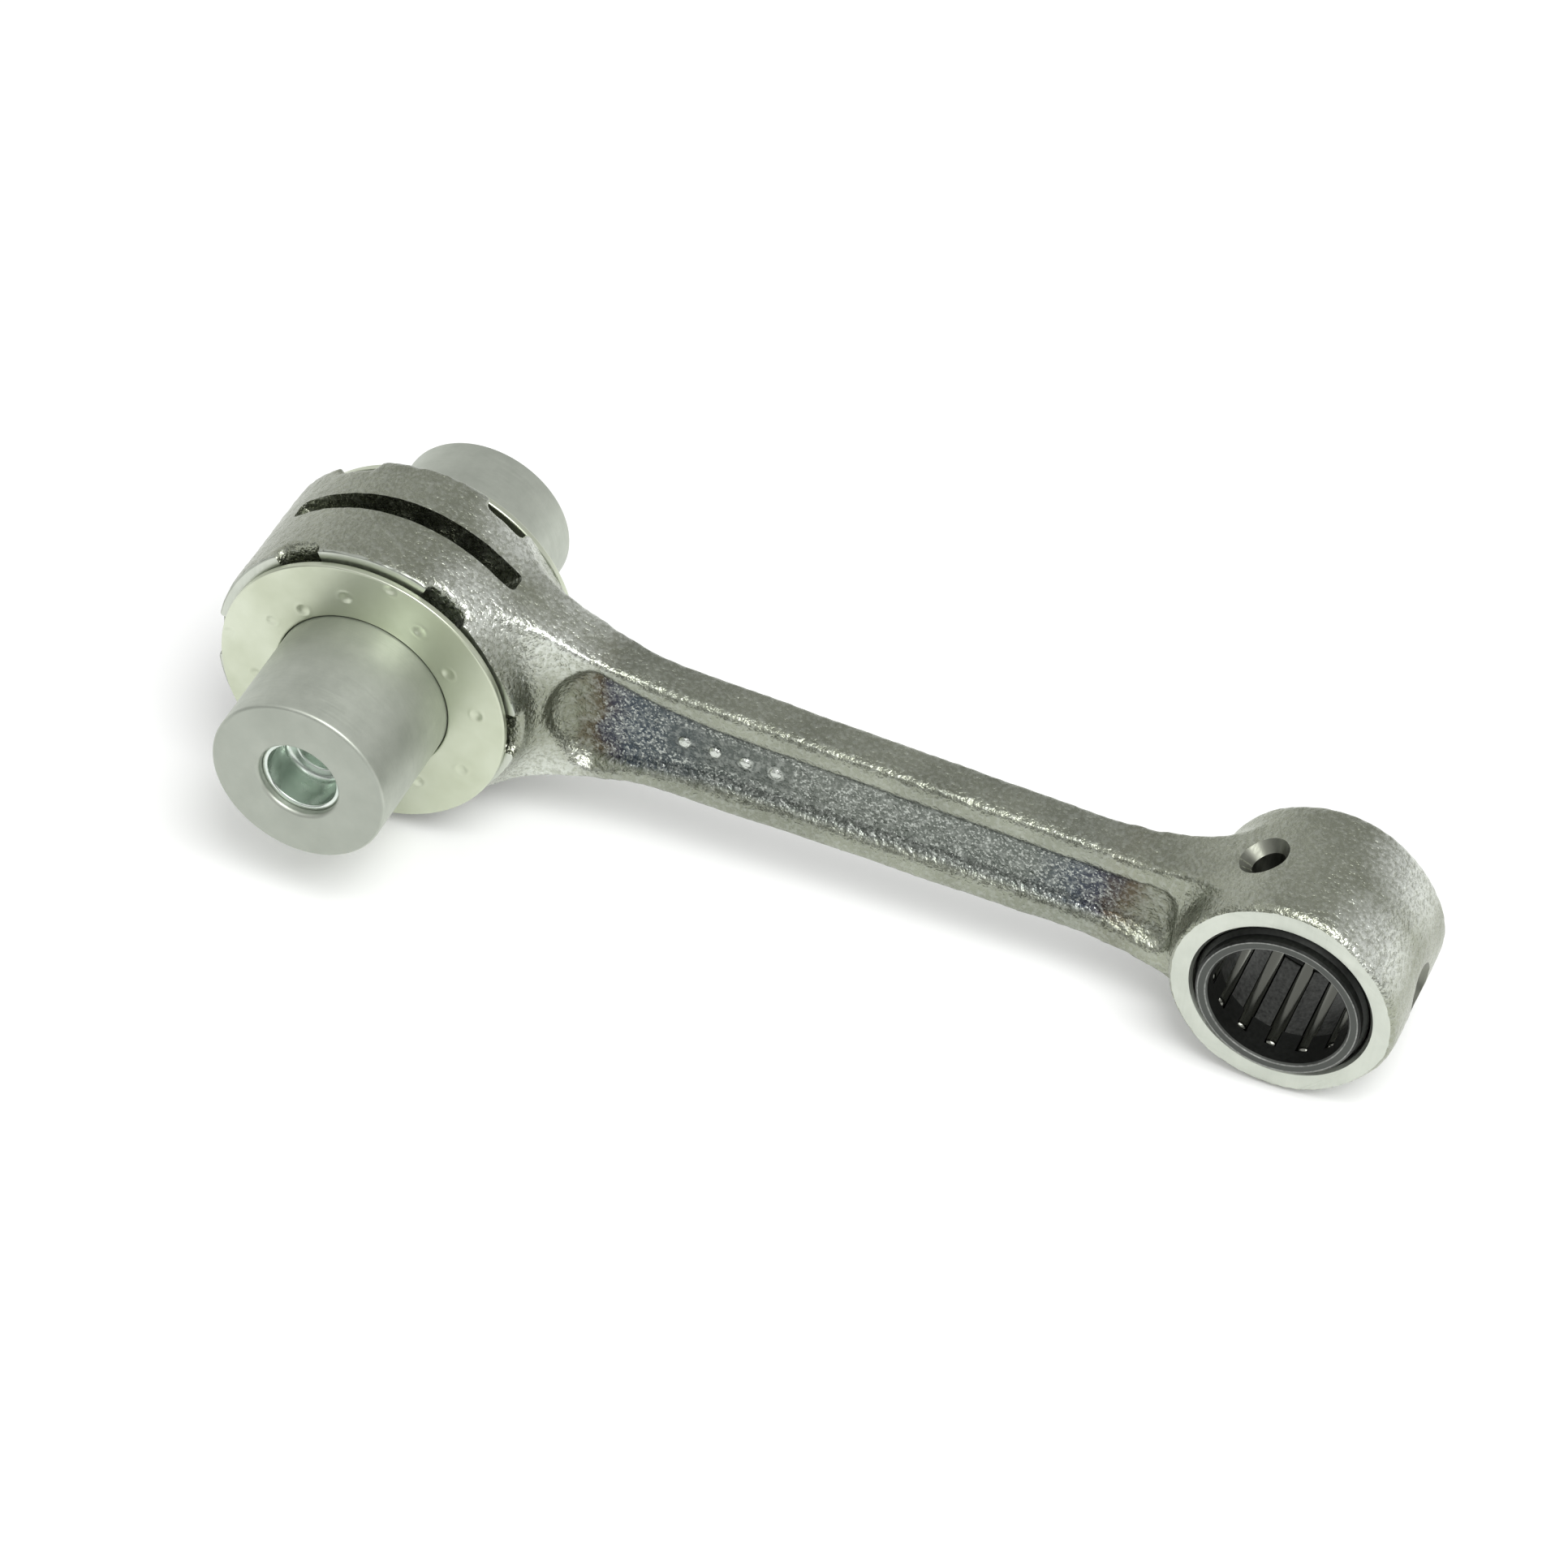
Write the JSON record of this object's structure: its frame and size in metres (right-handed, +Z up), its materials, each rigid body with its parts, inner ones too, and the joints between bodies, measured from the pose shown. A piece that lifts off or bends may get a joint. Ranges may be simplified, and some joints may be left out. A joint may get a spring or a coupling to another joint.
{
  "type": "connecting rod",
  "caption": "Forged I-beam connecting rod with a plugged crank pin, dimpled thrust washers and caged needle bearings at the big and small ends.",
  "frame": {"origin": "centre of the big-end bore on the rod's mid-plane, where the crank pin's axis crosses it", "axes": "+X along the rod from the big end to the small end, +Y along the crank pin to its rear end, +Z up with the rod standing on edge"},
  "size_m": [0.1606, 0.057, 0.0428],
  "materials": {
    "forged_steel": "shot-peened forging, heat-tinted in the recess, with ground end faces",
    "ground_steel": "ground, satin",
    "zinc_plate": "bright zinc plate",
    "washer_steel": "polished hardened washer with dimples",
    "black_cage": "black oxide, satin",
    "roller_steel": "polished bearing steel"
  },
  "bodies": {
    "rod": {"rod": "forged_steel"},
    "crank_pin": {"crank_pin": "ground_steel", "cup_plug_front": "zinc_plate", "cup_plug_rear": "zinc_plate"},
    "thrust_washer_front": {"thrust_washer_front": "washer_steel"},
    "thrust_washer_rear": {"thrust_washer_rear": "washer_steel"},
    "big_end_cage": {"big_end_cage": "black_cage"},
    "small_end_cage": {"small_end_cage": "black_cage"},
    "big_end_roller_01": {"big_end_roller_01": "roller_steel"},
    "big_end_roller_02": {"big_end_roller_02": "roller_steel"},
    "big_end_roller_03": {"big_end_roller_03": "roller_steel"},
    "big_end_roller_04": {"big_end_roller_04": "roller_steel"},
    "big_end_roller_05": {"big_end_roller_05": "roller_steel"},
    "big_end_roller_06": {"big_end_roller_06": "roller_steel"},
    "big_end_roller_07": {"big_end_roller_07": "roller_steel"},
    "big_end_roller_08": {"big_end_roller_08": "roller_steel"},
    "big_end_roller_09": {"big_end_roller_09": "roller_steel"},
    "big_end_roller_10": {"big_end_roller_10": "roller_steel"},
    "big_end_roller_11": {"big_end_roller_11": "roller_steel"},
    "big_end_roller_12": {"big_end_roller_12": "roller_steel"},
    "big_end_roller_13": {"big_end_roller_13": "roller_steel"},
    "big_end_roller_14": {"big_end_roller_14": "roller_steel"},
    "small_end_needle_01": {"small_end_needle_01": "roller_steel"},
    "small_end_needle_02": {"small_end_needle_02": "roller_steel"},
    "small_end_needle_03": {"small_end_needle_03": "roller_steel"},
    "small_end_needle_04": {"small_end_needle_04": "roller_steel"},
    "small_end_needle_05": {"small_end_needle_05": "roller_steel"},
    "small_end_needle_06": {"small_end_needle_06": "roller_steel"},
    "small_end_needle_07": {"small_end_needle_07": "roller_steel"},
    "small_end_needle_08": {"small_end_needle_08": "roller_steel"},
    "small_end_needle_09": {"small_end_needle_09": "roller_steel"},
    "small_end_needle_10": {"small_end_needle_10": "roller_steel"},
    "small_end_needle_11": {"small_end_needle_11": "roller_steel"},
    "small_end_needle_12": {"small_end_needle_12": "roller_steel"},
    "small_end_needle_13": {"small_end_needle_13": "roller_steel"},
    "small_end_needle_14": {"small_end_needle_14": "roller_steel"}
  },
  "joints": [
    {"name": "crank_pin_spin", "type": "hinge", "parent": "rod", "child": "crank_pin", "pos_m": [0, 0, 0], "axis": [0, 1, 0], "continuous": true},
    {"name": "big_end_cage_spin", "type": "hinge", "parent": "rod", "child": "big_end_cage", "pos_m": [0, 0, 0], "axis": [0, 1, 0], "continuous": true},
    {"name": "thrust_washer_front_spin", "type": "hinge", "parent": "crank_pin", "child": "thrust_washer_front", "pos_m": [0, 0, 0], "axis": [0, 1, 0], "continuous": true},
    {"name": "thrust_washer_rear_spin", "type": "hinge", "parent": "crank_pin", "child": "thrust_washer_rear", "pos_m": [0, 0, 0], "axis": [0, 1, 0], "continuous": true},
    {"name": "small_end_cage_spin", "type": "hinge", "parent": "rod", "child": "small_end_cage", "pos_m": [0.12425, 0, 0], "axis": [0, 1, 0], "continuous": true},
    {"name": "big_end_roller_01_spin", "type": "hinge", "parent": "big_end_cage", "child": "big_end_roller_01", "pos_m": [0.01377, 0, 0], "axis": [0, 1, 0], "continuous": true},
    {"name": "big_end_roller_02_spin", "type": "hinge", "parent": "big_end_cage", "child": "big_end_roller_02", "pos_m": [0.01241, 0, 0.00597], "axis": [0, 1, 0], "continuous": true},
    {"name": "big_end_roller_03_spin", "type": "hinge", "parent": "big_end_cage", "child": "big_end_roller_03", "pos_m": [0.00859, 0, 0.01077], "axis": [0, 1, 0], "continuous": true},
    {"name": "big_end_roller_04_spin", "type": "hinge", "parent": "big_end_cage", "child": "big_end_roller_04", "pos_m": [0.00306, 0, 0.01342], "axis": [0, 1, 0], "continuous": true},
    {"name": "big_end_roller_05_spin", "type": "hinge", "parent": "big_end_cage", "child": "big_end_roller_05", "pos_m": [-0.00306, 0, 0.01342], "axis": [0, 1, 0], "continuous": true},
    {"name": "big_end_roller_06_spin", "type": "hinge", "parent": "big_end_cage", "child": "big_end_roller_06", "pos_m": [-0.00859, 0, 0.01077], "axis": [0, 1, 0], "continuous": true},
    {"name": "big_end_roller_07_spin", "type": "hinge", "parent": "big_end_cage", "child": "big_end_roller_07", "pos_m": [-0.01241, 0, 0.00597], "axis": [0, 1, 0], "continuous": true},
    {"name": "big_end_roller_08_spin", "type": "hinge", "parent": "big_end_cage", "child": "big_end_roller_08", "pos_m": [-0.01377, 0, 0], "axis": [0, 1, 0], "continuous": true},
    {"name": "big_end_roller_09_spin", "type": "hinge", "parent": "big_end_cage", "child": "big_end_roller_09", "pos_m": [-0.01241, 0, -0.00597], "axis": [0, 1, 0], "continuous": true},
    {"name": "big_end_roller_10_spin", "type": "hinge", "parent": "big_end_cage", "child": "big_end_roller_10", "pos_m": [-0.00859, 0, -0.01077], "axis": [0, 1, 0], "continuous": true},
    {"name": "big_end_roller_11_spin", "type": "hinge", "parent": "big_end_cage", "child": "big_end_roller_11", "pos_m": [-0.00306, 0, -0.01342], "axis": [0, 1, 0], "continuous": true},
    {"name": "big_end_roller_12_spin", "type": "hinge", "parent": "big_end_cage", "child": "big_end_roller_12", "pos_m": [0.00306, 0, -0.01342], "axis": [0, 1, 0], "continuous": true},
    {"name": "big_end_roller_13_spin", "type": "hinge", "parent": "big_end_cage", "child": "big_end_roller_13", "pos_m": [0.00859, 0, -0.01077], "axis": [0, 1, 0], "continuous": true},
    {"name": "big_end_roller_14_spin", "type": "hinge", "parent": "big_end_cage", "child": "big_end_roller_14", "pos_m": [0.01241, 0, -0.00597], "axis": [0, 1, 0], "continuous": true},
    {"name": "small_end_needle_01_spin", "type": "hinge", "parent": "small_end_cage", "child": "small_end_needle_01", "pos_m": [0.13438, 0, 0.0017], "axis": [0, 1, 0], "continuous": true},
    {"name": "small_end_needle_02_spin", "type": "hinge", "parent": "small_end_cage", "child": "small_end_needle_02", "pos_m": [0.13264, 0, 0.00592], "axis": [0, 1, 0], "continuous": true},
    {"name": "small_end_needle_03_spin", "type": "hinge", "parent": "small_end_cage", "child": "small_end_needle_03", "pos_m": [0.12924, 0, 0.00898], "axis": [0, 1, 0], "continuous": true},
    {"name": "small_end_needle_04_spin", "type": "hinge", "parent": "small_end_cage", "child": "small_end_needle_04", "pos_m": [0.12485, 0, 0.01025], "axis": [0, 1, 0], "continuous": true},
    {"name": "small_end_needle_05_spin", "type": "hinge", "parent": "small_end_cage", "child": "small_end_needle_05", "pos_m": [0.12034, 0, 0.0095], "axis": [0, 1, 0], "continuous": true},
    {"name": "small_end_needle_06_spin", "type": "hinge", "parent": "small_end_cage", "child": "small_end_needle_06", "pos_m": [0.11661, 0, 0.00686], "axis": [0, 1, 0], "continuous": true},
    {"name": "small_end_needle_07_spin", "type": "hinge", "parent": "small_end_cage", "child": "small_end_needle_07", "pos_m": [0.11439, 0, 0.00287], "axis": [0, 1, 0], "continuous": true},
    {"name": "small_end_needle_08_spin", "type": "hinge", "parent": "small_end_cage", "child": "small_end_needle_08", "pos_m": [0.11412, 0, -0.0017], "axis": [0, 1, 0], "continuous": true},
    {"name": "small_end_needle_09_spin", "type": "hinge", "parent": "small_end_cage", "child": "small_end_needle_09", "pos_m": [0.11586, 0, -0.00592], "axis": [0, 1, 0], "continuous": true},
    {"name": "small_end_needle_10_spin", "type": "hinge", "parent": "small_end_cage", "child": "small_end_needle_10", "pos_m": [0.11926, 0, -0.00898], "axis": [0, 1, 0], "continuous": true},
    {"name": "small_end_needle_11_spin", "type": "hinge", "parent": "small_end_cage", "child": "small_end_needle_11", "pos_m": [0.12365, 0, -0.01025], "axis": [0, 1, 0], "continuous": true},
    {"name": "small_end_needle_12_spin", "type": "hinge", "parent": "small_end_cage", "child": "small_end_needle_12", "pos_m": [0.12816, 0, -0.0095], "axis": [0, 1, 0], "continuous": true},
    {"name": "small_end_needle_13_spin", "type": "hinge", "parent": "small_end_cage", "child": "small_end_needle_13", "pos_m": [0.13189, 0, -0.00686], "axis": [0, 1, 0], "continuous": true},
    {"name": "small_end_needle_14_spin", "type": "hinge", "parent": "small_end_cage", "child": "small_end_needle_14", "pos_m": [0.13411, 0, -0.00287], "axis": [0, 1, 0], "continuous": true}
  ],
  "couplings": [
    {"joint": "big_end_cage_spin", "follows": "crank_pin_spin", "ratio": 0.43526},
    {"joint": "big_end_roller_01_spin", "follows": "crank_pin_spin", "ratio": -3.8725},
    {"joint": "big_end_roller_02_spin", "follows": "crank_pin_spin", "ratio": -3.8725},
    {"joint": "big_end_roller_03_spin", "follows": "crank_pin_spin", "ratio": -3.8725},
    {"joint": "big_end_roller_04_spin", "follows": "crank_pin_spin", "ratio": -3.8725},
    {"joint": "big_end_roller_05_spin", "follows": "crank_pin_spin", "ratio": -3.8725},
    {"joint": "big_end_roller_06_spin", "follows": "crank_pin_spin", "ratio": -3.8725},
    {"joint": "big_end_roller_07_spin", "follows": "crank_pin_spin", "ratio": -3.8725},
    {"joint": "big_end_roller_08_spin", "follows": "crank_pin_spin", "ratio": -3.8725},
    {"joint": "big_end_roller_09_spin", "follows": "crank_pin_spin", "ratio": -3.8725},
    {"joint": "big_end_roller_10_spin", "follows": "crank_pin_spin", "ratio": -3.8725},
    {"joint": "big_end_roller_11_spin", "follows": "crank_pin_spin", "ratio": -3.8725},
    {"joint": "big_end_roller_12_spin", "follows": "crank_pin_spin", "ratio": -3.8725},
    {"joint": "big_end_roller_13_spin", "follows": "crank_pin_spin", "ratio": -3.8725},
    {"joint": "big_end_roller_14_spin", "follows": "crank_pin_spin", "ratio": -3.8725},
    {"joint": "small_end_needle_01_spin", "follows": "small_end_cage_spin", "ratio": -9.256},
    {"joint": "small_end_needle_02_spin", "follows": "small_end_cage_spin", "ratio": -9.256},
    {"joint": "small_end_needle_03_spin", "follows": "small_end_cage_spin", "ratio": -9.256},
    {"joint": "small_end_needle_04_spin", "follows": "small_end_cage_spin", "ratio": -9.256},
    {"joint": "small_end_needle_05_spin", "follows": "small_end_cage_spin", "ratio": -9.256},
    {"joint": "small_end_needle_06_spin", "follows": "small_end_cage_spin", "ratio": -9.256},
    {"joint": "small_end_needle_07_spin", "follows": "small_end_cage_spin", "ratio": -9.256},
    {"joint": "small_end_needle_08_spin", "follows": "small_end_cage_spin", "ratio": -9.256},
    {"joint": "small_end_needle_09_spin", "follows": "small_end_cage_spin", "ratio": -9.256},
    {"joint": "small_end_needle_10_spin", "follows": "small_end_cage_spin", "ratio": -9.256},
    {"joint": "small_end_needle_11_spin", "follows": "small_end_cage_spin", "ratio": -9.256},
    {"joint": "small_end_needle_12_spin", "follows": "small_end_cage_spin", "ratio": -9.256},
    {"joint": "small_end_needle_13_spin", "follows": "small_end_cage_spin", "ratio": -9.256},
    {"joint": "small_end_needle_14_spin", "follows": "small_end_cage_spin", "ratio": -9.256}
  ]
}
